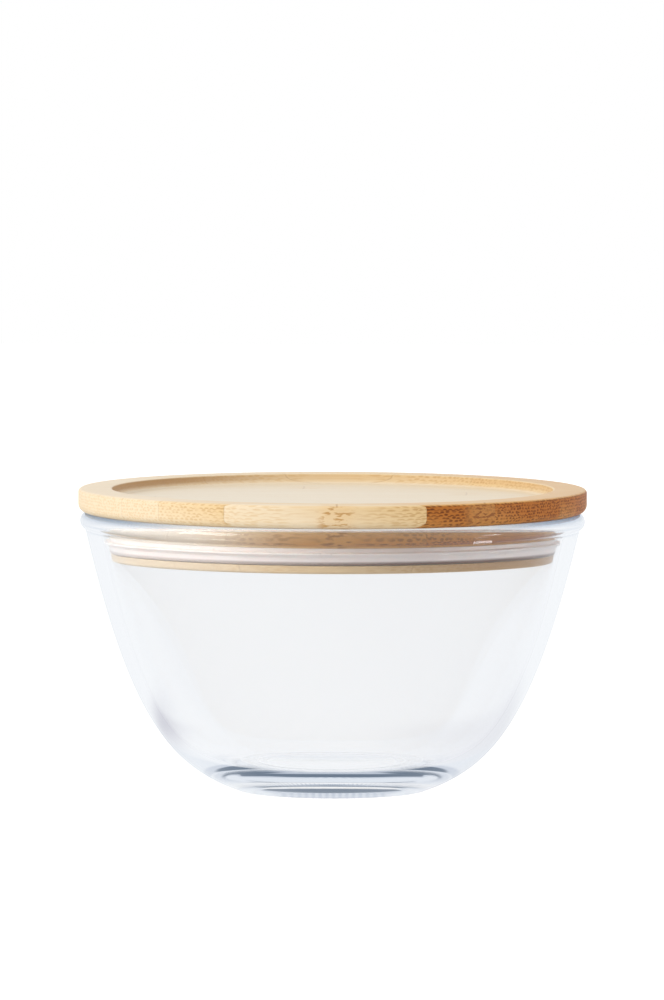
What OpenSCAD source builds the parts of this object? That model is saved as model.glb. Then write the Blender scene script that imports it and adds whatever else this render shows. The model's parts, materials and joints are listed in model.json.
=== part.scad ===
// Clear glass bowl with a laminated bamboo lid, sealed by a silicone ring.
// The bowl stands on the table at z = 0 and turns about the Z axis.
// The lid goes in from above: its flange covers the rim of the glass, and its plug
// carries the ring, whose wiper meets the inside of the wall.

/* [Glass] */
// Height of the glass, from the table to the top of the rim
bowl_h = 98.6; // [88:0.1:110]
// Outer diameter over the rolled rim
rim_d = 179; // [165:0.5:195]
// Radius of the rolled rim's bead in section
bead_r = 3.1; // [2.6:0.1:3.5]
// Angle below level where the bead runs into the wall
bead_root_angle = 65; // [55:1:75]
// Lean of the wall from upright under the bead, in degrees
wall_lean = 13.3; // [10:0.1:16]
// How far the wall stays straight below the bead before it bends, as a curve handle
wall_pull = 65.5; // [60:0.5:72]
// Outer diameter of the flat ring that the bowl stands on
foot_d = 67; // [60:0.5:74]
// Width of that flat ring
foot_w = 6.8; // [5:0.1:9]
// Slope of the glass where it leaves the ring, in degrees
foot_rise = 19; // [15:0.5:23]
// How far the underside runs out before it turns up, as a curve handle
foot_pull = 27.2; // [24:0.2:31]
// Rise of the hollow under the base, inside the ring
push_up_h = 0.8; // [0.4:0.1:1.5]
// Width of the soft step from the ring up to that hollow
push_up_w = 4; // [2:0.1:6]

/* [Glass thickness] */
// Height of the floor inside above the table
base_t = 8.2; // [7:0.1:9.5]
// How far the flat floor ends short of the ring's outer edge
floor_inset = 5.5; // [3:0.1:9]
// How far the floor runs out level before it turns up, as a curve handle
floor_pull = 16; // [10:0.5:22]
// How much longer the inside of the wall stays straight than the outside
inner_extra = 20.5; // [14:0.1:21]
// Thickness of the wall under the bead
mouth_t = 6; // [5.2:0.1:6.5]
// How much more upright than the outside the inside is there, in degrees
mouth_taper = 2.4; // [1.6:0.1:3.2]
// Radius that rounds the inner edge of the rim
mouth_round = 2.5; // [1.5:0.1:3]

/* [Lid flange] */
// How far the flange stands out past the rim of the glass
flange_over = 0.5; // [0.2:0.1:3]
// Thickness of the flange
flange_t = 8.3; // [7:0.1:10]
// Radius of the flange's upper edge
flange_top_round = 1.3; // [0.6:0.1:2.5]
// Radius of the flange's lower edge
flange_low_round = 2.9; // [1.5:0.1:3.6]
// Width of the raised border round the tray
border_w = 12; // [9:0.1:16]
// Depth of the tray below the border
tray_depth = 3.5; // [2.5:0.1:4.5]
// Radius that rounds the border's inner edge
border_round = 0.6; // [0.3:0.1:1.2]

/* [Lid plug] */
// Depth of the plug below the flange
plug_h = 15.6; // [14:0.1:18]
// Gap between the plug's lowest edge and the glass
plug_gap = 1.5; // [1:0.1:2.5]
// How much the plug's radius grows from its bottom to its top
plug_taper = 0.9; // [0.3:0.1:1.3]
// Radius of the plug's lower edge
plug_round = 0.9; // [0.4:0.1:1.4]
// Distance from the flange down to the groove
neck_h = 6.2; // [5.4:0.1:7]
// Height of the groove that holds the ring
groove_h = 6.5; // [6:0.1:7.5]
// Depth of the groove, measured from the plug's bottom edge
groove_depth = 1.6; // [1.2:0.1:2.4]

/* [Bamboo strips] */
// Width of the top ply's foremost strip, which the turning leaves narrow
top_front_w = 7.1; // [4:0.1:12]
// The same on the upper ply of the plug
upper_front_w = 7.9; // [5:0.1:12]
// The same on the lower ply of the plug
lower_front_w = 5.6; // [3:0.1:12]
// How far the seams are turned from the bowl's left-right line, in degrees
grain_turn = -1.74; // [-6:0.01:6]

/* [Sealing ring] */
// Play between the ring and the walls of its groove
ring_play = 0.1; // [0.05:0.01:0.2]
// How far the ring's band stands out past the plug's bottom edge
band_proud = 0.75; // [0.5:0.05:1]
// Radius of the band's edges
band_round = 0.5; // [0.3:0.05:0.8]
// Distance from the top of the ring down to the wiper's upper face
wiper_drop = 1.9; // [1.4:0.1:2.4]
// Radius of the wiper's tip
wiper_tip_r = 0.4; // [0.25:0.05:0.6]
// Slope of the wiper's upper face, in degrees
wiper_slope = 8; // [0:1:15]
// Gap between the wiper's tip and the glass
wiper_gap = 0.2; // [0.1:0.05:0.5]

/* [Hidden] */
// Gap between the rim of the glass and the underside of the flange
seat_gap = 0.1;
// How far a cutting block runs past what it cuts
overrun = 1;
// Strips glued side by side in the top ply, and in each ply of the plug
top_strip_count = 13;
plug_strip_count = 12;
// Plies glued one below the other in the plug
plug_plies = 2;
// Straight pieces that a long curve, and a rounded edge, are drawn with
curve_steps = 28;
round_steps = 6;

$fn = 240;

// Colours as red, green and blue shares, with the glass and the ring see-through
glass_shares = [0.80, 0.90, 0.94, 0.35];
ring_shares = [0.86, 0.83, 0.80, 0.9];
bamboo_tone_shares = [
    [0.93, 0.80, 0.58],
    [0.80, 0.60, 0.36],
    [0.90, 0.75, 0.51],
    [0.86, 0.69, 0.45]
];

// Points on a curve with two end points and two handles
function curve_point(a, b, c, d, t) =
    pow(1 - t, 3) * a + 3 * pow(1 - t, 2) * t * b + 3 * (1 - t) * pow(t, 2) * c + pow(t, 3) * d;

// Points on an arc round a centre, from one angle to another
function arc(centre, r, from, to) =
    [for (i = [0 : round_steps])
        let (angle = from + (to - from) * i / round_steps)
        centre + r * [cos(angle), sin(angle)]];

// The glass: an outer curve from the bearing ring up to the bead
bead_centre = [rim_d / 2 - bead_r, bowl_h - bead_r];
foot_edge = [foot_d / 2, 0];
foot_handle = foot_edge + foot_pull * [cos(foot_rise), sin(foot_rise)];
wall_top = bead_centre + bead_r * [cos(bead_root_angle), -sin(bead_root_angle)];
wall_handle = wall_top - wall_pull * [sin(wall_lean), cos(wall_lean)];

function outer_point(t) = curve_point(foot_edge, foot_handle, wall_handle, wall_top, t);

// The inside: its curve leaves the flat floor level and runs up beside the outer one,
// so the base and the mouth are thick and the wall between them is thinner
floor_edge = foot_edge + [-floor_inset, base_t];
floor_handle = floor_edge + [floor_pull, 0];
mouth_start = wall_top + mouth_t * [-cos(wall_lean), sin(wall_lean)];
inner_lean = wall_lean - mouth_taper;
inner_handle = mouth_start - (wall_pull + inner_extra) * [sin(inner_lean), cos(inner_lean)];

function inner_point(t) = curve_point(floor_edge, floor_handle, inner_handle, mouth_start, t);

// The inside of the mouth goes on straight from the curve, then rounds over to the rim
mouth_round_start_z = bowl_h - mouth_round * (1 - sin(inner_lean));
mouth_round_start = [
    mouth_start[0] + (mouth_round_start_z - mouth_start[1]) * tan(inner_lean),
    mouth_round_start_z
];
mouth_round_centre = mouth_round_start + mouth_round * [cos(inner_lean), -sin(inner_lean)];

// Radius of the inside of the glass at a height
inner_wall = [for (i = [0 : curve_steps]) inner_point(i / curve_steps)];
inner_wall_by_height = [for (p = concat(inner_wall, [mouth_round_start])) [p[1], p[0]]];
function glass_inner_r(z) = lookup(z, inner_wall_by_height);

// The lid: heights, and radii that follow the rim and the inside of the glass
flange_z = bowl_h + seat_gap;
lid_top_z = flange_z + flange_t;
lid_r = rim_d / 2 + flange_over;
tray_r = lid_r - border_w;
tray_floor_z = lid_top_z - tray_depth;
cove_r = tray_depth - border_round;
plug_bottom_z = flange_z - plug_h;
plug_bottom_r = glass_inner_r(plug_bottom_z) - plug_gap;
plug_top_r = plug_bottom_r + plug_taper;
groove_top_z = flange_z - neck_h;
groove_low_z = groove_top_z - groove_h;
groove_floor_r = plug_bottom_r - groove_depth;

// Radius of the plug's tapered side at a height
function plug_r(z) = plug_bottom_r + plug_taper * (z - plug_bottom_z) / plug_h;

// The ring: it fills the groove but for its play, and the wiper reaches out to the glass
ring_inner_r = groove_floor_r + ring_play;
ring_top_z = groove_top_z - ring_play;
ring_low_z = groove_low_z + ring_play;
band_r = plug_bottom_r + band_proud;
wiper_z = ring_top_z - wiper_drop;
wiper_tip_centre = [
    glass_inner_r(wiper_z - 2 * wiper_tip_r) - wiper_gap - wiper_tip_r,
    wiper_z - wiper_tip_r
];

// Section of the glass, from the axis out along the underside and back down the inside
module bowl_section() {
    foot_inner_r = foot_d / 2 - foot_w;
    push_up = [for (i = [round_steps : -1 : 0])
        let (share = i / round_steps)
        [foot_inner_r - push_up_w * share, push_up_h * (1 - cos(180 * share)) / 2]];
    outside = [for (i = [0 : curve_steps]) outer_point(i / curve_steps)];
    bead = arc(bead_centre, bead_r, -bead_root_angle, 90);
    mouth = arc(mouth_round_centre, mouth_round, 90, 180 - inner_lean);
    inside = [for (i = [curve_steps : -1 : 0]) inner_wall[i]];
    polygon(concat(
        [[0, push_up_h]],
        push_up,
        outside,
        [for (i = [1 : round_steps]) bead[i]],
        mouth,
        inside,
        [[0, base_t]]
    ));
}

module bowl() {
    color(glass_shares) rotate_extrude() bowl_section();
}

// Section of the top ply: a flange with rounded edges and a tray with a coved border
module flange_section() {
    low_centre = [lid_r - flange_low_round, flange_z + flange_low_round];
    top_centre = [lid_r - flange_top_round, lid_top_z - flange_top_round];
    border_centre = [tray_r + border_round, lid_top_z - border_round];
    cove_centre = [tray_r - cove_r, lid_top_z - border_round];
    polygon(concat(
        [[0, flange_z]],
        arc(low_centre, flange_low_round, -90, 0),
        arc(top_centre, flange_top_round, 0, 90),
        arc(border_centre, border_round, 90, 180),
        [for (i = [1 : round_steps]) arc(cove_centre, cove_r, 0, -90)[i]],
        [[0, tray_floor_z]]
    ));
}

// Section of the plug: a tapered disc with a groove round it
module plug_section() {
    round_centre = [plug_bottom_r - plug_round, plug_bottom_z + plug_round];
    polygon(concat(
        [[0, plug_bottom_z]],
        arc(round_centre, plug_round, -90, 0),
        [
            [plug_r(groove_low_z), groove_low_z],
            [groove_floor_r, groove_low_z],
            [groove_floor_r, groove_top_z],
            [plug_r(groove_top_z), groove_top_z],
            [plug_top_r, flange_z],
            [0, flange_z]
        ]
    ));
}

// One strip out of a turned ply: strip 1 is the narrow one in front, and the rest share
// the width that is left. The ply lies between two heights.
module strip(i, count, ply_r, front_w, low_z, high_z) {
    strip_w = (2 * ply_r - front_w) / (count - 1);
    start = i == 1 ? -ply_r - overrun : -ply_r + front_w + (i - 2) * strip_w;
    end = i == count ? ply_r + overrun : -ply_r + front_w + (i - 1) * strip_w;
    color(bamboo_tone_shares[(i * i + count) % len(bamboo_tone_shares)])
        intersection() {
            rotate_extrude() children();
            rotate([0, 0, grain_turn])
                translate([-ply_r - overrun, start, low_z])
                    cube([2 * (ply_r + overrun), end - start, high_z - low_z]);
        }
}

module top_strip(i) {
    strip(i, top_strip_count, lid_r, top_front_w, flange_z, lid_top_z) flange_section();
}

plug_split_z = flange_z - plug_h / plug_plies;

module plug_upper_strip(i) {
    strip(i, plug_strip_count, plug_top_r, upper_front_w, plug_split_z, flange_z)
        plug_section();
}

module plug_lower_strip(i) {
    strip(i, plug_strip_count, plug_bottom_r, lower_front_w, plug_bottom_z, plug_split_z)
        plug_section();
}

// Section of the ring: a band in the groove, and a wiper that curves back into it below
module gasket_section() {
    top_round_centre = [band_r - band_round, ring_top_z - band_round];
    low_round_centre = [band_r - band_round, ring_low_z + band_round];
    tip_start = wiper_tip_centre + wiper_tip_r * [sin(wiper_slope), cos(wiper_slope)];
    wiper_root = [band_r, tip_start[1] + (tip_start[0] - band_r) * tan(wiper_slope)];
    tip = arc(wiper_tip_centre, wiper_tip_r, 90 - wiper_slope, -60);
    tip_end = tip[round_steps];
    ramp_end = [band_r, ring_low_z + band_round];
    ramp_handle = [
        band_r + (tip_end[0] - band_r) / 4,
        tip_end[1] - (tip_end[1] - ramp_end[1]) / 4
    ];
    ramp = [for (i = [1 : round_steps])
        curve_point(tip_end, ramp_handle, ramp_handle, ramp_end, i / round_steps)];
    polygon(concat(
        [[ring_inner_r, ring_low_z], [ring_inner_r, ring_top_z]],
        arc(top_round_centre, band_round, 90, 0),
        [wiper_root],
        tip,
        ramp,
        [for (i = [1 : round_steps]) arc(low_round_centre, band_round, 0, -90)[i]]
    ));
}

module gasket() {
    color(ring_shares) rotate_extrude() gasket_section();
}

bowl();
gasket();
for (i = [1 : top_strip_count])
    top_strip(i);
for (i = [1 : plug_strip_count])
    plug_upper_strip(i);
for (i = [1 : plug_strip_count])
    plug_lower_strip(i);
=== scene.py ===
import json
import math

import bmesh
import bpy
from mathutils import Matrix, Vector

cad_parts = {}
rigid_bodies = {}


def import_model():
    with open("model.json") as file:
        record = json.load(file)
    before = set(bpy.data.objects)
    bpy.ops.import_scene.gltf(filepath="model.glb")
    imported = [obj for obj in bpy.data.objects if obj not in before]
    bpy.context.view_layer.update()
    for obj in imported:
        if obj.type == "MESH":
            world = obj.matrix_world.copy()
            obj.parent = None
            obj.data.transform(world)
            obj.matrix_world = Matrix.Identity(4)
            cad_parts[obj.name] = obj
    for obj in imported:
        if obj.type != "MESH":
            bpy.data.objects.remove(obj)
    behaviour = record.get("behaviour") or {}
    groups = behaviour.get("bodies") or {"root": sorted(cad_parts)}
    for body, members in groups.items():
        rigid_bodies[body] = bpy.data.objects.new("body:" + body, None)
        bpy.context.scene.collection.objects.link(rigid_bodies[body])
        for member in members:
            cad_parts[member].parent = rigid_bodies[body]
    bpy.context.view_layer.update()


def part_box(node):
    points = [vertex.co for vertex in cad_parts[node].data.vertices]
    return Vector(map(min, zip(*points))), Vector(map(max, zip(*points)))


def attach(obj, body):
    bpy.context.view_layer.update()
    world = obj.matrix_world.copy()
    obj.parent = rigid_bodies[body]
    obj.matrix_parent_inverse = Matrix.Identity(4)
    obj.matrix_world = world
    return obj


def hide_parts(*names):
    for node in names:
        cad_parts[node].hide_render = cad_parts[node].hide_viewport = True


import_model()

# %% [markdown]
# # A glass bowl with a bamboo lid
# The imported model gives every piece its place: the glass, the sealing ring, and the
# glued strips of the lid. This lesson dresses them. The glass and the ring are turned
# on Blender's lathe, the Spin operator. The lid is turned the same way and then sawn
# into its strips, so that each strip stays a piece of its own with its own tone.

# A new Blender file holds a cube, a camera and a lamp, which are not of this scene
for stray in [o for o in bpy.data.objects if o.name in ("Cube", "Camera", "Light")]:
    bpy.data.objects.remove(stray)

# %% [markdown]
# ## Sizes
# Heights and radii come from the boxes of the CAD nodes. What a box can't tell, such as
# the radius of a rounded edge, is a named value in millimetres, and angles are in
# degrees. All positions are in metres, and the axis of the bowl is the Z axis.

# %% Sizes that the frame gives
MM = 0.001

glass_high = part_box("bowl")[1]
ply_low, ply_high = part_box("top_strip_7")
neck_low, neck_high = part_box("plug_upper_strip_7")
lip_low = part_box("plug_lower_strip_7")[0]
ring_low, ring_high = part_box("gasket")

rim_r, rim_z = glass_high.x, glass_high.z
lid_r, flange_z, lid_top_z = ply_high.x, ply_low.z, ply_high.z
plug_top_r, ply_split_z, plug_bottom_z = neck_high.x, neck_low.z, lip_low.z
wiper_r, ring_bottom_z, ring_top_z = ring_high.x, ring_low.z, ring_high.z
print(f"rim {2000 * rim_r:.1f} mm, lid {2000 * lid_r:.1f} mm, top at {1000 * lid_top_z:.1f} mm")

# %% [markdown]
# ## Tools for turning
# A lathe shape is one line, its half section, carried round the axis. The line is
# drawn as by hand: a small plane is merged to one point, and the point is extruded
# along the section. Arcs and curves are worked out by short functions, so the section
# has as many points as the shape needs and no list of numbers.


# %% Lines and arcs of a section
def arc(centre, radius, start, end, steps):
    """Points on an arc, from one angle in degrees to another."""
    angles = [math.radians(start + (end - start) * i / steps) for i in range(steps + 1)]
    return [
        (centre[0] + radius * math.cos(a), centre[1] + radius * math.sin(a)) for a in angles
    ]


def curve_point(a, b, c, d, t):
    """The point at share t of a curve with end points a and d and handles b and c."""
    s = 1 - t
    weights = (s**3, 3 * s * s * t, 3 * s * t * t, t**3)
    return tuple(
        sum(w * p[axis] for w, p in zip(weights, (a, b, c, d))) for axis in (0, 1)
    )


# %% The lathe
weld_reach = 0.004 * MM
smooth_below = math.radians(32)


def deselect_all():
    """Deselects every object, because an operator acts on all that is selected."""
    if bpy.context.mode != "OBJECT":
        bpy.ops.object.mode_set(mode="OBJECT")
    bpy.ops.object.select_all(action="DESELECT")


def draw_line(name, section):
    """Draws a section as an open line in the XZ plane, and stays in edit mode."""
    deselect_all()
    first_r, first_z = section[0]
    bpy.ops.mesh.primitive_plane_add(size=MM, location=(first_r, 0, first_z))
    line = bpy.context.object
    line.name = name
    line.data.name = name
    bpy.ops.object.transform_apply(location=True, rotation=False, scale=False)
    bpy.ops.object.mode_set(mode="EDIT")
    bpy.ops.mesh.select_all(action="SELECT")
    bpy.ops.mesh.merge(type="CENTER")
    for (r0, z0), (r1, z1) in zip(section, section[1:]):
        bpy.ops.mesh.extrude_region_move(
            TRANSFORM_OT_translate={"value": (r1 - r0, 0, z1 - z0)}
        )
    return line


def spin_line(line, turns):
    """Spins the line once round the Z axis and closes the seam and the poles."""
    bpy.ops.mesh.select_all(action="SELECT")
    bpy.ops.mesh.spin(
        steps=turns, angle=math.tau, center=(0, 0, 0), axis=(0, 0, 1), use_normal_flip=False
    )
    bpy.ops.mesh.select_all(action="SELECT")
    bpy.ops.mesh.remove_doubles(threshold=weld_reach)
    bpy.ops.mesh.normals_make_consistent(inside=False)
    bpy.ops.object.mode_set(mode="OBJECT")
    bpy.ops.object.shade_smooth_by_angle(angle=smooth_below)
    print(f"{line.name}: {len(line.data.vertices)} points, {len(line.data.polygons)} faces")
    return line


def turned(name, section, turns):
    """A piece of the lathe, from its half section."""
    return spin_line(draw_line(name, section), turns)


# %% [markdown]
# ## The glass
# The bowl is pressed in a mould: a flat ring to stand on, a thick base, a wall that is
# thinner halfway up, and a rim rolled into a bead. The outer side is one curve with two
# handles. The inner side is a second one, which leaves the flat floor level and is more
# upright than the outside at the mouth, where the glass grows thick again.

# %% Section of the glass
bead_r = 3.1 * MM
bead_root_angle = 65
bead_root_fillet = 1.1 * MM
wall_lean = 13.3
wall_pull = 65.5 * MM
foot_r = 33.5 * MM
foot_w = 6.8 * MM
foot_rise = 19
foot_pull = 27.2 * MM
push_up_h = 0.8 * MM
push_up_w = 4 * MM
base_t = 8.2 * MM
floor_r = foot_r - 5.5 * MM
floor_pull = 16 * MM
inner_lean = wall_lean - 2.4
inner_pull = wall_pull + 20.5 * MM
mouth_t = 6 * MM
mouth_round = 2.5 * MM
glass_steps = 56


def polar(length, degrees):
    """A step of some length in a direction, in the section's plane."""
    return length * math.cos(math.radians(degrees)), length * math.sin(math.radians(degrees))


def plus(a, b):
    """The sum of two points of the section's plane."""
    return a[0] + b[0], a[1] + b[1]


bead_centre = (rim_r - bead_r, rim_z - bead_r)
foot_edge = (foot_r, 0)
wall_top = plus(bead_centre, polar(bead_r, -bead_root_angle))
outer_curve = (
    foot_edge,
    plus(foot_edge, polar(foot_pull, foot_rise)),
    plus(wall_top, polar(-wall_pull, 90 - wall_lean)),
    wall_top,
)
mouth_start = plus(wall_top, polar(mouth_t, 180 - wall_lean))
inner_curve = (
    (floor_r, base_t),
    (floor_r + floor_pull, base_t),
    plus(mouth_start, polar(-inner_pull, 90 - inner_lean)),
    mouth_start,
)
print(f"base {1000 * base_t:.1f} mm thick, wall leaning {wall_lean} degrees at the mouth")

# %% [markdown]
# The bowl stands on a flat ring. Inside the ring the underside is pushed up a little, on
# a smooth wave, so that the bowl doesn't rock. The ring's own points are spaced for the
# knurl that is cut into it later.

# %% The flat ring and its knurl
flute_count = 128
knurl_depth = 0.35 * MM
knurl_inner_r = foot_r - foot_w + 0.5 * MM
knurl_outer_r = foot_r - 0.3 * MM
knurl_steps = 6
push_up_steps = 8
push_up = [
    (
        foot_r - foot_w - push_up_w * i / push_up_steps,
        push_up_h * (1 - math.cos(math.pi * i / push_up_steps)) / 2,
    )
    for i in range(push_up_steps, -1, -1)
]
knurl = [
    (knurl_inner_r + (knurl_outer_r - knurl_inner_r) * i / knurl_steps, 0)
    for i in range(knurl_steps + 1)
]
print(f"ring {1000 * foot_w:.1f} mm wide, {2000 * foot_r:.0f} mm across")

# %% [markdown]
# The whole line runs from the axis out below, round the bead and back in above. Points
# crowd towards the foot, where both curves bend most.

# %% The whole line
foot_crowding = 1.35
shares = [(i / glass_steps) ** foot_crowding for i in range(glass_steps + 1)]
outside = [curve_point(*outer_curve, t) for t in shares]
bead = arc(bead_centre, bead_r, -bead_root_angle, 90, 20)
mouth_round_z = rim_z - mouth_round * (1 - math.sin(math.radians(inner_lean)))
mouth_round_start = (
    mouth_start[0] + (mouth_round_z - mouth_start[1]) * math.tan(math.radians(inner_lean)),
    mouth_round_z,
)
mouth_centre = plus(mouth_round_start, polar(mouth_round, -inner_lean))
mouth = arc(mouth_centre, mouth_round, 90, 180 - inner_lean, 10)
inside = [curve_point(*inner_curve, t) for t in reversed(shares)]
glass_section = (
    [(0, push_up_h)] + push_up + knurl + outside + bead[1:] + mouth + inside + [(0, base_t)]
)
wall_mid = curve_point(*inner_curve, 0.6)
wall_t = min(math.dist(wall_mid, point) for point in outside)
print(f"glass section: {len(glass_section)} points, wall {1000 * wall_t:.1f} mm halfway up")

# %% [markdown]
# Where the bead runs into the wall the mould leaves a small hollow round, not a crease.
# One vertex of the line is bevelled for it before the spin. The flat ring has a knurl of
# short flutes, which keeps hot glass from sticking to the belt. They are cut after the
# spin, by lifting columns of vertices.

# %% Turn the glass and cut the knurl
column_lift = (0.0, 0.55, 1.0, 0.55)
columns_per_flute = len(column_lift)
knurl_margin = 0.1 * MM
same_point = 0.01 * MM

glass_line = draw_line("bowl_glass", glass_section)
edit = bmesh.from_edit_mesh(glass_line.data)
for vertex in edit.verts:
    at_root = math.dist((vertex.co.x, vertex.co.z), wall_top) < same_point
    vertex.select_set(at_root)
edit.select_flush_mode()
bmesh.update_edit_mesh(glass_line.data)
bpy.ops.mesh.bevel(offset=bead_root_fillet, segments=5, affect="VERTICES")
bowl_glass = spin_line(glass_line, flute_count * columns_per_flute)

for phase, lift in enumerate(column_lift):
    if lift == 0:
        continue
    bpy.ops.object.mode_set(mode="EDIT")
    bpy.ops.mesh.select_mode(type="VERT")
    bpy.ops.mesh.select_all(action="DESELECT")
    edit = bmesh.from_edit_mesh(bowl_glass.data)
    for vertex in edit.verts:
        radius = math.hypot(vertex.co.x, vertex.co.y)
        on_ring = knurl_inner_r + knurl_margin < radius < knurl_outer_r - knurl_margin
        if on_ring and vertex.co.z < knurl_depth / 2:
            turn = math.atan2(vertex.co.y, vertex.co.x) / math.tau
            column = round(turn * flute_count * columns_per_flute)
            vertex.select_set(column % columns_per_flute == phase)
    edit.select_flush_mode()
    bmesh.update_edit_mesh(bowl_glass.data)
    bpy.ops.transform.translate(value=(0, 0, knurl_depth * lift))
    bpy.ops.object.mode_set(mode="OBJECT")
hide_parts("bowl")
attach(bowl_glass, "bowl")

# Clear glass hardly dims the light, but a renderer would give it a full shadow
bowl_glass.visible_shadow = False
print("knurl:", flute_count, "flutes")

# %% [markdown]
# ## The sealing ring
# The ring is moulded silicone. Its band sits in the plug's groove, and one thin wiper
# leans out to the glass. The edges that show are soft, so the section is mostly arcs.

# %% Turn the ring
ring_play = 0.1 * MM
plug_taper = 0.9 * MM
plug_bottom_r = plug_top_r - plug_taper
groove_floor_r = plug_bottom_r - 1.6 * MM
band_r = plug_bottom_r + 0.75 * MM
band_round = 0.6 * MM
wiper_drop = 1.9 * MM
wiper_tip_r = 0.4 * MM
wiper_slope = 8
wiper_tip_end = -60
ramp_steps = 12
ring_turns = 240
wiper_tip = (wiper_r - wiper_tip_r, ring_top_z - wiper_drop - wiper_tip_r)
tip_top = plus(wiper_tip, polar(wiper_tip_r, 90 - wiper_slope))
wiper_root = (
    band_r,
    tip_top[1] + (tip_top[0] - band_r) * math.tan(math.radians(wiper_slope)),
)
ring_inner_r = groove_floor_r + ring_play
tip_arc = arc(wiper_tip, wiper_tip_r, 90 - wiper_slope, wiper_tip_end, 10)
ramp_end = (band_r, ring_bottom_z + band_round)
ramp_handle = (
    band_r + (tip_arc[-1][0] - band_r) / 4,
    tip_arc[-1][1] - (tip_arc[-1][1] - ramp_end[1]) / 4,
)
ramp = [
    curve_point(tip_arc[-1], ramp_handle, ramp_handle, ramp_end, i / ramp_steps)
    for i in range(1, ramp_steps + 1)
]
ring_section = (
    [(ring_inner_r, ring_bottom_z), (ring_inner_r, ring_top_z)]
    + arc((band_r - band_round, ring_top_z - band_round), band_round, 90, 0, 8)
    + [wiper_root]
    + tip_arc
    + ramp
    + arc((band_r - band_round, ring_bottom_z + band_round), band_round, 0, -90, 8)[1:]
    + [(ring_inner_r, ring_bottom_z)]
)
gasket_ring = turned("gasket_ring", ring_section, ring_turns)
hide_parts("gasket")
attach(gasket_ring, "lid")

# %% [markdown]
# ## The lid
# A real lid is glued up from strips, then turned and sanded, so that the strips lie
# flush and the seams show only as lines where the tone changes. It is made here in the
# same order: one blank is turned for the flange and one for the plug, and each strip is
# sawn out of a copy of the blank with Bisect cuts, which leave a closed piece.

# %% Turn the flange's blank
lid_turns = 360
flange_top_round = 1.3 * MM
flange_low_round = 2.9 * MM
border_w = 12 * MM
border_round = 0.6 * MM
tray_depth = 3.5 * MM
tray_r = lid_r - border_w
cove_r = tray_depth - border_round
flange_section = (
    [(0, flange_z)]
    + arc((lid_r - flange_low_round, flange_z + flange_low_round), flange_low_round, -90, 0, 12)
    + arc((lid_r - flange_top_round, lid_top_z - flange_top_round), flange_top_round, 0, 90, 10)
    + arc((tray_r + border_round, lid_top_z - border_round), border_round, 90, 180, 8)
    + arc((tray_r - cove_r, lid_top_z - border_round), cove_r, 0, -90, 14)[1:]
    + [(0, lid_top_z - tray_depth)]
)
flange_blank = turned("flange_blank", flange_section, lid_turns)

# %% Turn the plug's blank
plug_round = 0.9 * MM
neck_h = 6.2 * MM
groove_h = 6.5 * MM
groove_edge_round = 0.25 * MM


def plug_r(z):
    """Radius of the plug's tapered side at a height."""
    share = (z - plug_bottom_z) / (flange_z - plug_bottom_z)
    return plug_bottom_r + plug_taper * share


groove_top_z = flange_z - neck_h
groove_low_z = groove_top_z - groove_h
plug_section = (
    [(0, plug_bottom_z)]
    + arc((plug_bottom_r - plug_round, plug_bottom_z + plug_round), plug_round, -90, 0, 8)
    + arc(
        (plug_r(groove_low_z) - groove_edge_round, groove_low_z - groove_edge_round),
        groove_edge_round, 0, 90, 4,
    )
    + [(groove_floor_r, groove_low_z), (groove_floor_r, groove_top_z)]
    + arc(
        (plug_r(groove_top_z) - groove_edge_round, groove_top_z + groove_edge_round),
        groove_edge_round, -90, 0, 4,
    )
    + [(plug_top_r, flange_z), (0, flange_z)]
)
plug_blank = turned("plug_blank", plug_section, lid_turns)

# %% [markdown]
# The seams lie across the picture, turned by a degree or two. Each strip gets two small
# records on its mesh, which the bamboo's material reads. One holds how dark the strip is,
# where its pattern starts, and where its node lies, the knotty ring of the cane where the
# fibres cross. The other holds the two lines that it was sawn between, and the height of
# its ply's underside. A node or a line that the strip lacks is put far off the lid.

# %% The saw
far = 400 * MM
grain_turn = math.radians(-1.74)
across = Vector((-math.sin(grain_turn), math.cos(grain_turn), 0))
upwards = Vector((0, 0, 1))


def cut(point, normal):
    """Cuts the piece in edit mode with a plane, and keeps what lies behind it."""
    bpy.ops.mesh.select_all(action="SELECT")
    bpy.ops.mesh.bisect(
        plane_co=point, plane_no=normal, use_fill=True, clear_outer=True, clear_inner=False
    )


def sawn_strip(blank, name, sides, heights):
    """One strip: a copy of the blank, cut across between two lines and two heights."""
    deselect_all()
    strip = blank.copy()
    strip.data = blank.data.copy()
    strip.name = name
    strip.data.name = name
    bpy.context.collection.objects.link(strip)
    strip.select_set(True)
    bpy.context.view_layer.objects.active = strip
    bpy.ops.object.mode_set(mode="EDIT")
    for direction, (low, high) in ((across, sides), (upwards, heights)):
        if low is not None:
            cut(direction * low, -direction)
        if high is not None:
            cut(direction * high, direction)
    bpy.ops.object.mode_set(mode="OBJECT")
    bpy.ops.object.shade_smooth_by_angle(angle=smooth_below)
    return strip


def record_on_mesh(strip, name, values):
    """Writes three numbers on every point of a strip, as an attribute."""
    attribute = strip.data.attributes.new(name, "FLOAT_VECTOR", "POINT")
    attribute.data.foreach_set("vector", list(values) * len(strip.data.vertices))


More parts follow.
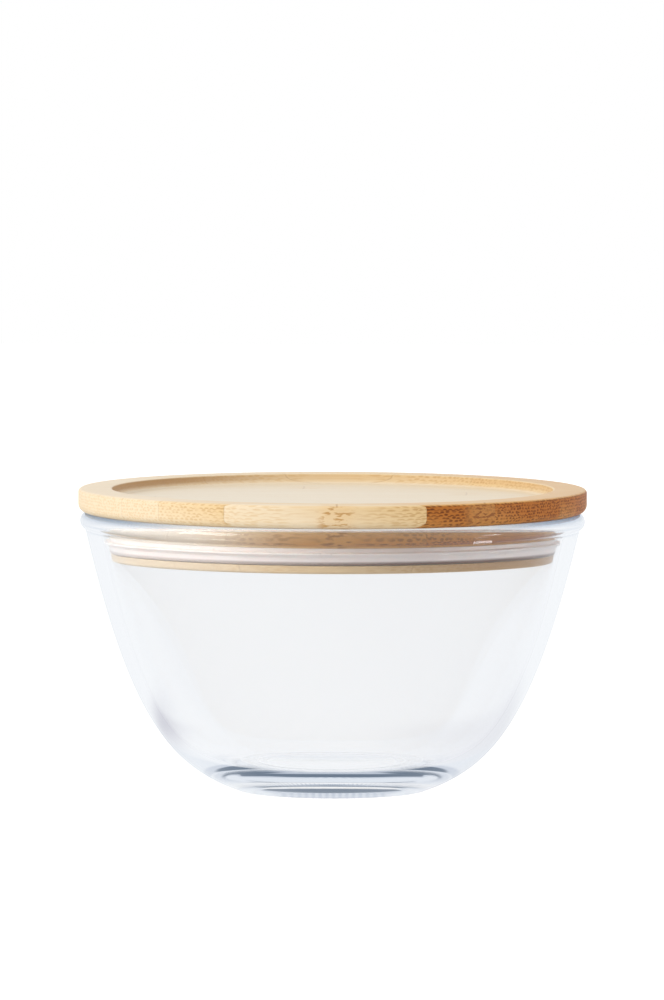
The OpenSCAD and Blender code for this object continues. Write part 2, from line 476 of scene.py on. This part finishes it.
def saw_ply(blank, node_stem, ply_r, front_w, bottom_z, heights, tones, nodes):
    """Saws a ply into strips, the narrow front one first, and returns them."""
    strips = []
    count = len(tones)
    pitch = (2 * ply_r - front_w) / (count - 1)
    for i, (tone, node_x) in enumerate(zip(tones, nodes)):
        low = None if i == 0 else front_w - ply_r + (i - 1) * pitch
        high = None if i == count - 1 else front_w - ply_r + i * pitch
        cad_node = f"{node_stem}_strip_{i + 1}"
        strip = sawn_strip(blank, f"{cad_node}_bamboo", (low, high), heights)
        pattern_start = 0.37 * i + 0.11 * count
        record_on_mesh(strip, "strip_look", (tone, pattern_start, node_x))
        seams = (-far if low is None else low, far if high is None else high)
        record_on_mesh(strip, "strip_place", (*seams, bottom_z))
        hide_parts(cad_node)
        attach(strip, "lid")
        strips.append(strip)
    print(f"{node_stem}: {count} strips, {1000 * pitch:.1f} mm wide")
    return strips


# %% Saw the three plies
top_front_w = 7.1 * MM
upper_front_w = 7.9 * MM
lower_front_w = 5.6 * MM
top_tones = (0.08, 0.58, 0.42, 0.4, 0.25, 0.42, 0.2, 0.5, 0.28, 0.45, 0.6, 0.35, 0.5)
top_nodes = (
    4 * MM, 55 * MM, -38 * MM, far, 21 * MM, far, -63 * MM, far, 47 * MM, far, -12 * MM, far, far
)
# The plug's plies have darker tones, partly the cane's own and partly painted shade under the
# flange and behind the glass
upper_tones = (0.8, 0.85, 0.85, 0.8, 0.6, 0.45, 0.7, 0.5, 0.35, 0.6, 0.5, 0.45)
upper_nodes = (4 * MM, far, far, 30 * MM, far, far, far, -25 * MM, far, far, far, far)
lower_tones = (0.62, 0.68, 0.65, 0.6, 0.5, 0.5, 0.35, 0.6, 0.45, 0.5, 0.4, 0.5)
lower_nodes = (far, far, -44 * MM, far, far, 18 * MM, far, far, far, 35 * MM, far, far)

bamboo_strips = saw_ply(
    flange_blank, "top", lid_r, top_front_w, flange_z, (None, None), top_tones, top_nodes
)
bamboo_strips += saw_ply(
    plug_blank, "plug_upper", plug_top_r, upper_front_w, ply_split_z, (ply_split_z, None),
    upper_tones, upper_nodes,
)
bamboo_strips += saw_ply(
    plug_blank, "plug_lower", plug_bottom_r, lower_front_w, plug_bottom_z, (None, ply_split_z),
    lower_tones, lower_nodes,
)
for blank in (flange_blank, plug_blank):
    bpy.data.objects.remove(blank)

# %% [markdown]
# ## Writing materials as sums
# A material is a graph of nodes, and long graphs are hard to read as code. A small class
# wraps an output of a node, so that Python's operators add the Math nodes. One method
# adds any other node.


# %% A wire that can be reckoned with
class Wire:
    """An output of a node in a material."""

    def __init__(self, finish, socket):
        self.finish = finish
        self.socket = socket

    def math(self, operation, *others):
        """A Math node on this wire and up to two more values."""
        return self.finish.node(
            "ShaderNodeMath", {"operation": operation}, dict(enumerate((self, *others)))
        )

    def before(self, operation, first):
        """A Math node on a number and this wire, in that order."""
        return self.finish.node("ShaderNodeMath", {"operation": operation}, {0: first, 1: self})

    def __add__(self, other):
        return self.math("ADD", other)

    def __radd__(self, other):
        return self.math("ADD", other)

    def __sub__(self, other):
        return self.math("SUBTRACT", other)

    def __rsub__(self, other):
        return self.before("SUBTRACT", other)

    def __mul__(self, other):
        return self.math("MULTIPLY", other)

    def __rmul__(self, other):
        return self.math("MULTIPLY", other)

    def __truediv__(self, other):
        return self.math("DIVIDE", other)

    def __rtruediv__(self, other):
        return self.before("DIVIDE", other)

    def __pow__(self, other):
        return self.math("POWER", other)

    def __abs__(self):
        return self.math("ABSOLUTE")

    def __gt__(self, other):
        return self.math("GREATER_THAN", other)

    def least(self, other):
        return self.math("MINIMUM", other)

    def most(self, other):
        return self.math("MAXIMUM", other)

    def held(self):
        """The value, held between 0 and 1."""
        return self.least(1.0).most(0.0)

    def fade(self, start, end, low=0.0, high=1.0):
        """Goes smoothly from low to high as the value goes from start to end."""
        return self.finish.node(
            "ShaderNodeMapRange",
            {"interpolation_type": "SMOOTHSTEP"},
            {"Value": self, "From Min": start, "From Max": end, "To Min": low, "To Max": high},
        )


def from_axis(east, north):
    """How far a point lies from the Z axis."""
    return (east * east + north * north) ** 0.5


# %% A finish that is being made
def set_stops(ramp, stops):
    """Gives a colour ramp its stops, each a place and a colour."""
    while len(ramp.elements) > 1:
        ramp.elements.remove(ramp.elements[-1])
    for i, (place, colour) in enumerate(stops):
        stop = ramp.elements[0] if i == 0 else ramp.elements.new(place)
        stop.position = place
        stop.color = colour


class Finish:
    """The nodes of a material, or of the world."""

    def __init__(self, owner, last_node="ShaderNodeOutputMaterial"):
        owner.use_nodes = True
        self.owner = owner
        self.last_node = last_node
        self.tree = owner.node_tree
        self.tree.nodes.clear()

    def node(self, kind, settings=None, values=None, output=0):
        """Adds a node: its settings first, then the values or wires of its sockets."""
        made = self.tree.nodes.new(kind)
        for name, setting in (settings or {}).items():
            if name == "stops":
                set_stops(made.color_ramp, setting)
            else:
                setattr(made, name, setting)
        for name, value in (values or {}).items():
            if isinstance(value, Wire):
                self.tree.links.new(value.socket, made.inputs[name])
            else:
                made.inputs[name].default_value = value
        return Wire(self, made.outputs[output])

    def outputs(self, wire, names):
        """Outputs of the node that a wire comes from, by their names."""
        return [Wire(self, wire.socket.node.outputs[name]) for name in names]

    def parts(self, vector):
        """The three numbers of a vector."""
        axes = self.node("ShaderNodeSeparateXYZ", values={"Vector": vector})
        return self.outputs(axes, ("X", "Y", "Z"))

    def vector(self, x, y, z):
        """A vector of three numbers."""
        return self.node("ShaderNodeCombineXYZ", values={"X": x, "Y": y, "Z": z})

    def stretched(self, vector, scale):
        """Stretches a vector by three shares."""
        return self.node("ShaderNodeVectorMath", {"operation": "MULTIPLY"}, {0: vector, 1: scale})

    def coordinates(self, kind):
        """Where a point lies, or with the kind Normal, where it faces."""
        return self.node("ShaderNodeTexCoord", output=kind)

    def record(self, name):
        """Three numbers that the mesh keeps for each point."""
        return self.node("ShaderNodeAttribute", {"attribute_name": name}, output="Vector")

    def noise(self, vector, scale, detail=2.0, roughness=0.5):
        """Noise from 0 to 1, at a scale per metre."""
        return self.node(
            "ShaderNodeTexNoise",
            {"noise_dimensions": "3D"},
            {"Vector": vector, "Scale": scale, "Detail": detail, "Roughness": roughness},
        )

    def mix(self, share, first, second):
        """Mixes two colours. Sockets 6 and 7 and output 2 are those for colours."""
        return self.node(
            "ShaderNodeMix", {"data_type": "RGBA"}, {0: share, 6: first, 7: second}, output=2
        )

    def ramp(self, share, stops):
        """A colour that changes over a few stops."""
        return self.node("ShaderNodeValToRGB", {"stops": stops}, {"Fac": share})

    def choose(self, share, first, second):
        """One shader or another, by a share of 0 or 1, or both mixed."""
        return self.node("ShaderNodeMixShader", values={0: share, 1: first, 2: second})

    def surface(self, shader, volume=None):
        """Ends the graph, and returns the material or the world."""
        last = self.tree.nodes.new(self.last_node)
        self.tree.links.new(shader.socket, last.inputs["Surface"])
        if volume is not None:
            self.tree.links.new(volume.socket, last.inputs["Volume"])
        print(f"{self.owner.name}: {len(self.tree.nodes)} nodes")
        return self.owner


def srgb(red, green, blue):
    """A colour as seen on screen, 0 to 255, as the linear shares that shaders use."""
    linear = [
        c / 12.92 if c <= 0.04045 else ((c + 0.055) / 1.055) ** 2.4
        for c in (red / 255, green / 255, blue / 255)
    ]
    return (*linear, 1.0)


# %% [markdown]
# ## Bamboo
# Bamboo is a bundle of straight fibres in a pale ground. One pattern serves every side
# of a strip: staggered cells across the grain, drawn out long along it. Where a face
# cuts the fibres they show as dots or short dashes, and where it runs along them they
# show as lines. All of it is reckoned from where a point lies, so the first step is to
# gather that: along the grain, across it, up, and on which part of the lid.


# %% Where a point lies on its strip
class OnStrip:
    """Where a point of the lid lies and faces, as wires of the bamboo's material."""

    def __init__(self, made):
        self.place = made.node(
            "ShaderNodeMapping",
            {"vector_type": "POINT"},
            {"Vector": made.coordinates("Object"), "Rotation": (0, 0, -grain_turn)},
        )
        self.along, self.side, self.height = made.parts(self.place)
        self.facing_right, _, facing_up = made.parts(made.coordinates("Normal"))
        self.tone, self.seed, self.node_x = made.parts(made.record("strip_look"))
        self.low_line, self.high_line, self.ply_z = made.parts(made.record("strip_place"))
        self.upper_face = facing_up.fade(0.35, 0.95)
        self.from_node = self.along - self.node_x
        self.knot = 1 - abs(self.from_node).fade(3.0 * MM, 8.5 * MM)
        self.in_plug = 1 - self.height.fade(flange_z - 0.2 * MM, flange_z)
        radius = from_axis(self.along, self.side)
        self.in_tray = 1 - radius.fade(tray_r + 0.3 * MM, tray_r + 1.0 * MM)


# %% [markdown]
# ### Fibres
# A bundle of fibres is about a millimetre across. Voronoi cells stand for the bundles:
# every second row is moved by half a cell, and each is a little off its place. Noise
# that is drawn out along the grain stands for the hairs between them. Near a node the
# fibres wander out of line, which moves the cells before they are drawn.

# %% Fibres
bundle_pitch = 1.05 * MM
ripple_depth = 1.0 * MM
knot_depth = 3.0 * MM


def fibres(made, at):
    """How much of a point is a bundle of fibres, and how much is hair."""
    wander_side = made.noise(at.place, 300.0, 3.0)
    wander_up = made.noise(made.stretched(at.place, (1.0, 1.0, 1.7)), 340.0, 3.0)
    ripple = made.noise(made.stretched(at.place, (0.35, 1.0, 1.0)), 110.0, 2.0)
    bend = (ripple - 0.5) * ripple_depth
    fibre_side = at.side + (wander_side - 0.5) * at.knot * knot_depth + bend
    fibre_height = at.height + (wander_up - 0.5) * at.knot * knot_depth + bend * 0.4
    row = (fibre_height / bundle_pitch).math("FLOOR")
    stagger = row.math("MODULO", 2.0) * (bundle_pitch / 2)
    cells = made.node(
        "ShaderNodeTexVoronoi",
        {"voronoi_dimensions": "2D", "feature": "F1"},
        {
            "Vector": made.vector(fibre_side + stagger + at.seed, fibre_height, 0.0),
            "Scale": 1 / bundle_pitch,
            "Randomness": 0.5,
        },
    )
    core = 1 - cells.fade(0.20, 0.50)
    broken = made.noise(made.stretched(at.place, (0.4, 1.0, 1.0)), 420.0, 1.0)
    hair_place = made.vector(at.along * 0.03 + at.seed, fibre_side, fibre_height)
    hair = made.noise(hair_place, 2200.0, 3.0, 0.6)
    return core * broken.fade(0.30, 0.52, 0.35, 1.0), hair


# %% [markdown]
# ### Tones
# Each strip has a tone of its own, from the record on its mesh. The flange also grows
# darker towards its right end, all at one slope, and the plug does so on its left half.
# These slopes are partly the cane's own tone and partly painted shade, darker away from
# the key lamp on the left. The upper face hides half of these differences, and the tray
# more, partly as sanding and partly as painted sheen. The tone picks two colours from two
# ramps, one for the ground and one for the fibres.

# %% Tones and colours of the cane
# Slopes of darkening to the right: partly the cane's own tone, partly painted shade
flange_slope = 8.5
plug_left_change = -1.5
plug_right_change = 6.0


def darkness(made, at):
    """How dark the cane is, 0 to 1: by strip, along it, and from its ply's underside up."""
    drift = made.noise(made.vector(at.along * 0.6, at.seed, at.height * 0.5), 26.0, 2.0)
    change = at.along.fade(-1.0 * MM, 1.0 * MM, plug_left_change, plug_right_change)
    slope = flange_slope - at.in_plug * change
    up = (at.height - at.ply_z) / (lid_top_z - flange_z)
    dark = at.tone + (drift - 0.5) * 0.35 + at.along * slope + (up - 0.5) * 0.2
    # The upper face and the tray are paler, partly as sanding and partly as painted sheen
    return dark.held() * (1 - at.upper_face * 0.5) * (1 - at.in_tray * 0.6)


def cane_colour(made, at, dark, fibre, hair):
    """The pale ground with its darker fibres, which are plainest on end grain."""
    ground = made.ramp(
        dark,
        [
            (0.0, srgb(244, 224, 192)),
            (0.35, srgb(238, 206, 152)),
            (0.7, srgb(222, 164, 92)),
            (1.0, srgb(190, 114, 42)),
        ],
    )
    fibre_colour = made.ramp(
        dark,
        [
            (0.0, srgb(226, 190, 132)),
            (0.5, srgb(196, 144, 84)),
            (1.0, srgb(114, 58, 16)),
        ],
    )
    end_grain = abs(at.facing_right).fade(0.02, 0.25, 0.25, 1.0)
    strength = fibre * end_grain * dark.fade(-0.1, 0.9, 0.5, 0.95) + (hair - 0.5) * 0.4
    strength = strength * at.upper_face.fade(0.0, 1.0, 1.0, 0.7) * (1 - at.knot * 0.5)
    return made.mix(strength.held(), ground, fibre_colour)


# %% [markdown]
# ### Nodes, tray and seams
# A node of the cane is a warmer patch, with fine brown dashes on the sides and one thin
# wavy line on top. The cove's left end is end grain that faces away from the key lamp and
# gets painted shade, the rest of the cove is a little duller, and the tray's floor is
# sanded and painted pale, a painted sheen. The left end of the plug gets painted light,
# for the light that falls on it through the glass. The glue between two strips shows as
# a thin seam.


# %% Nodes, tray and plug
def with_node(made, at, colour, dark, crack):
    """Adds the node of the cane: its warmer patch, its dashes and its line."""
    crack_colour = made.mix(dark, srgb(204, 150, 78), srgb(140, 82, 40))
    colour = made.mix(at.knot * 0.25, colour, srgb(232, 186, 116))
    colour = made.mix(crack * 0.8, colour, crack_colour)
    line_bend = (made.noise(at.place, 160.0, 2.0) - 0.5) * (1.6 * MM)
    line = 1 - abs(at.from_node + line_bend).fade(0.1 * MM, 0.5 * MM)
    return made.mix(line * at.upper_face * 0.5, colour, srgb(170, 118, 62))


def with_lid_parts(made, at, colour):
    """Adds the dull cove and its painted shade, the tray's painted sheen and the plug's painted
    light.
    """
    in_cove = at.in_tray * (1 - at.upper_face)
    # Painted shade on the cove's left wall, which faces away from the key lamp
    cove_painted_shade = in_cove * at.facing_right.fade(0.1, 0.8)
    colour = made.mix(cove_painted_shade * 0.8, colour, srgb(172, 122, 74))
    colour = made.mix(in_cove * 0.35, colour, srgb(206, 174, 130))
    # Painted sheen: the tray's floor is painted paler
    deep = (lid_top_z - at.height).fade(tray_depth - 0.9 * MM, tray_depth - 0.1 * MM)
    colour = made.mix(at.upper_face * deep * 0.5, colour, srgb(240, 232, 214))
    # Painted light on the plug's left end, palest in the neck
    plug_end_painted_light = at.in_plug * (1 - at.along.fade(-56.0 * MM, -8.0 * MM))
    in_neck = at.height.fade(groove_low_z, groove_top_z)
    plug_end_light_colour = made.mix(in_neck, srgb(220, 202, 176), srgb(250, 243, 232))
    return made.mix(plug_end_painted_light * 0.8, colour, plug_end_light_colour)


# %% Bamboo material
seam_w = 0.12 * MM


def bamboo():
    """Oiled bamboo, a little glossier on the sanded upper face."""
    made = Finish(bpy.data.materials.new("bamboo_laminated"))
    at = OnStrip(made)
    fibre, hair = fibres(made, at)
    dark = darkness(made, at)
    dashes = made.noise(made.stretched(at.place, (0.36, 1.0, 1.5)), 700.0, 3.0)
    crack = dashes.fade(0.50, 0.60) * at.knot * (1 - at.upper_face)
    seam = 1 - (at.side - at.low_line).least(at.high_line - at.side).fade(0.0, seam_w)

    colour = cane_colour(made, at, dark, fibre, hair)
    colour = with_node(made, at, colour, dark, crack)
    colour = with_lid_parts(made, at, colour)
    colour = made.mix(seam * 0.25, colour, srgb(142, 96, 54))
    bump = made.node(
        "ShaderNodeBump",
        values={
            "Strength": 0.2,
            "Distance": 0.05 * MM,
            "Height": fibre * 0.7 + hair * 0.5 - crack * 0.9 - seam,
        },
    )
    shader = made.node(
        "ShaderNodeBsdfPrincipled",
        values={
            "Base Color": colour,
            "Roughness": 0.5 + (hair - 0.5) * 0.2 + fibre * 0.06 - at.upper_face * 0.14,
            "Specular IOR Level": 0.25,
            "Normal": bump,
        },
    )
    return made.surface(shader)


bamboo_finish = bamboo()
for strip in bamboo_strips:
    strip.data.materials.clear()
    strip.data.materials.append(bamboo_finish)

# %% [markdown]
# ## Glass
# Clear glass shows by what it bends and mirrors, so the shader is plain: no colour on
# the faces, and a faint blue-grey that grows with thickness, from absorption inside.
# Only the top of the bead has a tint, painted reflection and shade: warm in front, under
# the bright bamboo, and blue at the sides. Real pressed glass is never quite even, which a
# very weak bump stands for.
#
# Light that enters the thick base is thrown to and fro between its faces. A renderer
# gives up after a few mirrorings and calls the rest black. Such a ray glows instead, with
# painted light and shade: the colour that the base has to the eye where it ends, pale in
# the curved part, grey with the stripes of the flutes over the ring, and dark blue-grey
# over the floor, which is paler only in the middle of its near side.

# %% Glass material
most_mirrorings = 3.5
most_bounces = 10.5


def lost_ray_colour(made, east, north):
    """The painted light and shade of the base, for rays that are given up."""
    floor_dark = (0.10, 0.15, 0.22, 1.0)
    floor_near = (0.52, 0.57, 0.66, 1.0)
    flute_low = (0.50, 0.56, 0.66, 1.0)
    flute_high = (0.74, 0.78, 0.85, 1.0)
    curve_pale = (0.82, 0.86, 0.91, 1.0)
    radius = from_axis(east, north)
    flute = (north.math("ARCTAN2", east) * flute_count).math("SINE") * 0.5 + 0.5
    ring_colour = made.mix(flute, flute_low, flute_high)
    far_or_end = north.fade(-3.0 * MM, 4.0 * MM).most(abs(east).fade(14.0 * MM, 21.0 * MM))
    colour = made.mix(far_or_end, floor_near, floor_dark)
    colour = made.mix(radius.fade(floor_r, floor_r + 2 * MM), colour, ring_colour)
    return made.mix(radius.fade(foot_r - 1 * MM, foot_r + 1 * MM), colour, curve_pale)


def clear_glass():
    """Pressed glass, with painted light and shade of its base for the rays that are given up."""
    made = Finish(bpy.data.materials.new("clear_glass"))
    place = made.coordinates("Object")
    east, north, height = made.parts(place)
    bump = made.node(
        "ShaderNodeBump",
        values={
            "Strength": 0.12,
            "Distance": 0.3 * MM,
            "Height": made.noise(place, 34.0, 1.0),
        },
    )
    # Painted reflection and shade on the top of the bead, warm in front and blue at the sides
    rim_top = height.fade(rim_z - 2.4 * MM, rim_z - 0.4 * MM)
    rim_side = abs(east).fade(45.0 * MM, 78.0 * MM)
    rim_painted_reflection = made.mix(rim_side, (1.0, 0.95, 0.86, 1.0), (0.25, 0.34, 0.46, 1.0))
    clear = made.node(
        "ShaderNodeBsdfPrincipled",
        values={
            "Base Color": made.mix(rim_top, (1.0, 1.0, 1.0, 1.0), rim_painted_reflection),
            "Roughness": 0.0,
            "IOR": 1.5,
            "Transmission Weight": 1.0,
            "Normal": bump,
        },
    )
    path = made.node("ShaderNodeLightPath")
    mirrorings, bounces = made.outputs(path, ("Glossy Depth", "Ray Depth"))
    lost = (mirrorings > most_mirrorings).most(bounces > most_bounces)
    # Rays that are given up glow with painted light and shade
    colour = lost_ray_colour(made, east, north)
    painted_base_glow = made.node("ShaderNodeEmission", values={"Color": colour, "Strength": 1.0})
    inside_glass = made.node(
        "ShaderNodeVolumeAbsorption",
        values={"Color": (0.90, 0.92, 0.95, 1.0), "Density": 11.0},
    )
    return made.surface(made.choose(lost, clear, painted_base_glow), inside_glass)


bowl_glass.data.materials.clear()
bowl_glass.data.materials.append(clear_glass())

# %% [markdown]
# ## Silicone
# Frosted silicone lets light in and scatters it. Subsurface scattering gives the milky
# body, and a soft roughness the matt skin with a few specks of dust. Little light comes
# into the corner between the ring and the lip under it, least of all on the right, so
# the ring's lowest edge is darker.


# %% Silicone material
def silicone():
    """Frosted silicone with a few specks and a dark lowest edge."""
    made = Finish(bpy.data.materials.new("frosted_silicone"))
    place = made.coordinates("Object")
    east, _, height = made.parts(place)
    cloud = made.noise(place, 90.0, 3.0)
    specks = made.node(
        "ShaderNodeTexVoronoi",
        {"voronoi_dimensions": "3D", "feature": "F1"},
        {"Vector": place, "Scale": 320.0, "Randomness": 1.0},
    )
    speck = 1 - specks.fade(0.05, 0.14)
    edge = 1 - height.fade(ring_bottom_z + 0.5 * MM, ring_bottom_z + 1.7 * MM)
    edge = edge * east.fade(-70.0 * MM, 40.0 * MM, 0.5, 1.0)
    colour = made.mix(cloud, srgb(246, 232, 224), srgb(252, 243, 238))
    colour = made.mix(edge, colour, srgb(124, 98, 84))
    colour = made.mix(speck * 0.35, colour, srgb(200, 186, 176))
    shader = made.node(
        "ShaderNodeBsdfPrincipled",
        values={
            "Base Color": colour,
            "Roughness": 0.42 + (cloud - 0.5) * 0.2,
            "Subsurface Weight": 0.35,
            "Subsurface Radius": (0.9, 0.7, 0.6),
            "Subsurface Scale": 2.0 * MM,
            "IOR": 1.41,
        },
    )
    return made.surface(shader)


gasket_ring.data.materials.clear()
gasket_ring.data.materials.append(silicone())

# %% [markdown]
# ## Camera
# The photograph was taken from afar with a long lens, a few degrees above the lid, so
# the ellipse of the lid is flat and the sides hardly converge. The camera aims at a
# point a little above the rim, and is turned by a trace about its own line of sight.

# %% Place the camera
view_distance = 3.3
camera_height = 331 * MM
aim = Vector((-0.2 * MM, 0, 102.8 * MM))
lens_mm = 336.4
sensor_mm = 36
roll = math.radians(0.18)

camera_data = bpy.data.cameras.new("camera")
camera_data.sensor_width = sensor_mm
camera_data.lens = lens_mm
camera_data.clip_end = 20
camera = bpy.data.objects.new("camera", camera_data)
bpy.context.scene.collection.objects.link(camera)
camera.location = (aim.x, -view_distance, camera_height)
look = (aim - camera.location).to_track_quat("-Z", "Y")
camera.rotation_euler = (look.to_matrix() @ Matrix.Rotation(roll, 3, "Z")).to_euler()
bpy.context.scene.camera = camera
print(f"camera {view_distance} m away with a lens of {lens_mm} mm")

# %% [markdown]
# ## Light and background
# The bowl stands on a white table in front of white. To the camera, table and world are
# both pure white. What the glass bends is next to white. What it mirrors is a little
# darker, and darkest to the front right, because the photographer's room is dim there.
# Two soft shades on the table, one right of the bowl and one behind it on the left, are
# seen by the glass only, and stand for things beside the bowl. All other rays get one
# plain and faintly warm light.

# %% What the glass sees
white = (1.0, 1.0, 1.0, 1.0)
bent_white = (0.985, 0.995, 1.0, 1.0)
mirrored_white = (0.93, 0.95, 0.975, 1.0)
dim_room = (0.58, 0.59, 0.63, 1.0)
table_shade = (0.40, 0.39, 0.48, 1.0)
dim_angle = math.radians(-40)


def ray_kinds(made):
    """Whether a ray comes from the camera, from a mirroring, or through glass."""
    path = made.node("ShaderNodeLightPath")
    return made.outputs(path, ("Is Camera Ray", "Is Glossy Ray", "Is Transmission Ray"))


def seen_in_glass(made, glossy_ray, east, north, dim_start, dim_end):
    """White for bent rays, and for mirrored ones a white that fades to the dim room.

    East and north are a place on the table, or a direction in the world.
    """
    to_front_right = east * math.cos(dim_angle) + north * math.sin(dim_angle)
    mirrored = made.mix(to_front_right.fade(dim_start, dim_end), mirrored_white, dim_room)
    return made.mix(glossy_ray, bent_white, mirrored)


# %% Floor
table_size = 6
table_gap = 0.02 * MM
table_glow = 0.62

deselect_all()
bpy.ops.mesh.primitive_plane_add(size=table_size, location=(0, 0, -table_gap))
floor = bpy.context.object
floor.name = "floor"


def white_table():
    """White paint that takes shadows, and a glow that lifts it to pure white."""
    made = Finish(bpy.data.materials.new("white_table"))
    camera_ray, glossy_ray, bent_ray = ray_kinds(made)
    east, north, _ = made.parts(made.coordinates("Object"))
    paint = made.node("ShaderNodeBsdfDiffuse", values={"Color": (0.8, 0.8, 0.8, 1.0)})
    glow = made.node("ShaderNodeEmission", values={"Color": white, "Strength": table_glow})
    lifted = made.node("ShaderNodeAddShader", values={0: paint, 1: glow})

    seen = seen_in_glass(made, glossy_ray, east, north, 20 * MM, 350 * MM)
    west = 0 - east
    radius = from_axis(east, north)
    right_shade = (1 - radius.fade(100 * MM, 220 * MM)) * east.fade(0.0, 80 * MM) * 0.22
    far_left = west.fade(50 * MM, 90 * MM) * north.fade(-20 * MM, 20 * MM)
    left_shade = (1 - radius.fade(100 * MM, 150 * MM)) * far_left * 0.5
    seen = made.mix(right_shade + left_shade, seen, table_shade)
    veil = made.node("ShaderNodeEmission", values={"Color": seen, "Strength": 1.0})
    direct = made.choose(camera_ray, paint, lifted)
    return made.surface(made.choose(glossy_ray.most(bent_ray), direct, veil))


floor.data.materials.append(white_table())

# %% World
light_tint = (1.0, 0.985, 0.965, 1.0)
light_strength = 0.77


def white_room():
    """White to the camera, what the glass sees to the glass, and a light for the rest."""
    made = Finish(bpy.data.worlds.new("studio"), "ShaderNodeOutputWorld")
    camera_ray, glossy_ray, bent_ray = ray_kinds(made)
    east, north, _ = made.parts(made.coordinates("Generated"))
    seen = seen_in_glass(made, glossy_ray, east, north, 0.05, 0.5)
    colours = ((light_tint, light_strength), (white, 1.0), (seen, 1.0))
    light, plain, veil = [
        made.node("ShaderNodeBackground", values={"Color": colour, "Strength": strength})
        for colour, strength in colours
    ]
    direct = made.choose(camera_ray, light, plain)
    return made.surface(made.choose(glossy_ray.most(bent_ray), direct, veil))


bpy.context.scene.world = white_room()

# %% [markdown]
# ## Lamps
# A large soft lamp on the left gives the lid its bright side. A small one, low on the
# right, gives the glass its sparkles under the flange.


# %% Lamps
def soft_lamp(name, place, size, power):
    """A square soft lamp that faces the lid."""
    data = bpy.data.lights.new(name, "AREA")
    data.shape = "SQUARE"
    data.size = size
    data.energy = power
    lamp = bpy.data.objects.new(name, data)
    bpy.context.scene.collection.objects.link(lamp)
    lamp.location = place
    to_lid = Vector((0, 0, 0.1)) - Vector(place)
    lamp.rotation_euler = to_lid.to_track_quat("-Z", "Y").to_euler()
    print(f"{name}: {power} W, {to_lid.length:.2f} m from the lid")


soft_lamp("key_lamp", place=(-1.3, -0.75, 0.75), size=0.8, power=11)
soft_lamp("fill_lamp", place=(1.53, -0.41, 0.03), size=0.3, power=3.6)
bpy.context.scene.view_settings.view_transform = "Standard"
